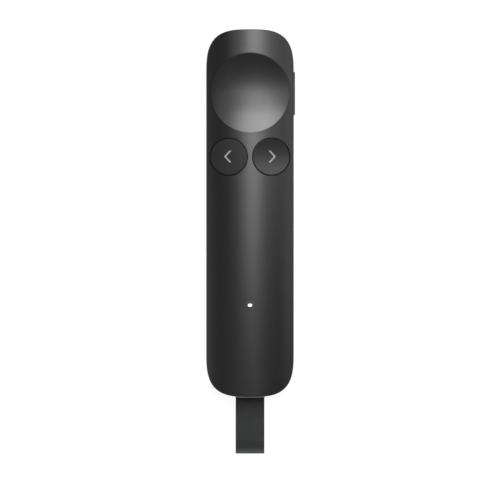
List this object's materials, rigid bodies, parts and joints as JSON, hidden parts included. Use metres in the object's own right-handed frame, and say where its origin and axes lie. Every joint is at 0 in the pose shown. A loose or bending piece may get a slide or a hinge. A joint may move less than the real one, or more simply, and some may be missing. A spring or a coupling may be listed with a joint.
{
  "type": "wireless presentation clicker",
  "caption": "Slim hand-held presentation clicker with a large dished key, small chevron keys, a side key, a status light and a stowed radio receiver with a ribbon pull.",
  "frame": {"origin": "middle of the flat back, where the clicker rests on a table", "axes": "+Z out of the key face, +Y along the housing towards the dish key, +X towards the side with the side key"},
  "size_m": [0.0309, 0.1473, 0.0131],
  "materials": {
    "housing": "fine satin texture, near black",
    "key": "smooth satin, near black",
    "mark": "matt light grey",
    "side_key": "satin, near black",
    "light_pipe": "clear plastic, lit white",
    "board": "green solder mask",
    "switch_metal": "stamped steel",
    "switch_plunger": "black nylon",
    "led": "pale resin",
    "chip": "ceramic",
    "battery_foil": "dull laminate foil",
    "foam": "closed-cell foam",
    "connector": "natural nylon",
    "lead": "red insulation",
    "connector_metal": "drawn steel sheet",
    "tongue": "black liquid-crystal polymer",
    "dock": "black moulding",
    "spring": "phosphor bronze strip",
    "receiver": "fine satin texture, near black",
    "plug_tongue": "white moulding",
    "contacts": "gold plate",
    "pin": "drawn steel",
    "ribbon": "woven ribbon, dark grey",
    "screw": "plated steel"
  },
  "bodies": {
    "housing": {"top_shell": "housing", "back_cover": "housing", "light_pipe": "light_pipe", "main_board": "board", "dish_switch_base": "switch_metal", "back_switch_base": "switch_metal", "forward_switch_base": "switch_metal", "side_switch_base": "switch_metal", "status_led": "led", "radio_shield": "switch_metal", "antenna_chip": "chip", "battery_cell": "battery_foil", "battery_pad": "foam", "battery_connector": "connector", "battery_leads": "lead", "charge_port_shell": "connector_metal", "charge_port_tongue": "tongue", "receiver_dock": "dock", "dock_spring": "spring", "board_screws": "screw"},
    "dish": {"dish_key": "key", "dish_switch_plunger": "switch_plunger"},
    "back": {"back_key": "key", "back_chevron": "mark", "back_switch_plunger": "switch_plunger"},
    "forward": {"forward_key": "key", "forward_chevron": "mark", "forward_switch_plunger": "switch_plunger"},
    "side": {"side_key": "side_key", "side_switch_plunger": "switch_plunger"},
    "receiver": {"receiver_cap": "receiver", "usb_plug_shell": "connector_metal", "usb_tongue": "plug_tongue", "usb_contacts": "contacts", "receiver_board": "board", "tab_pin": "pin"},
    "tab": {"pull_tab": "ribbon"}
  },
  "joints": [
    {"name": "dish_press", "type": "slide", "parent": "housing", "child": "dish", "axis": [0, 0, -1], "range_m": [0, 0.0005], "stiffness_N_per_m": 2500, "springref_m": -0.0003},
    {"name": "back_press", "type": "slide", "parent": "housing", "child": "back", "axis": [0, 0, -1], "range_m": [0, 0.0004], "stiffness_N_per_m": 2500, "springref_m": -0.0003},
    {"name": "forward_press", "type": "slide", "parent": "housing", "child": "forward", "axis": [0, 0, -1], "range_m": [0, 0.0004], "stiffness_N_per_m": 2500, "springref_m": -0.0003},
    {"name": "side_press", "type": "slide", "parent": "housing", "child": "side", "axis": [-1, 0, 0], "range_m": [0, 0.0003], "stiffness_N_per_m": 2500, "springref_m": -0.0003},
    {"name": "receiver_pull", "type": "slide", "parent": "housing", "child": "receiver", "axis": [0, -1, 0], "range_m": [0, 0.022]},
    {"name": "strap_swing", "type": "hinge", "parent": "receiver", "child": "tab", "pos_m": [0, -0.061, 0.0066], "axis": [1, 0, 0], "range_deg": [-25, 25], "stiffness_Nm_per_rad": 0.0025}
  ]
}
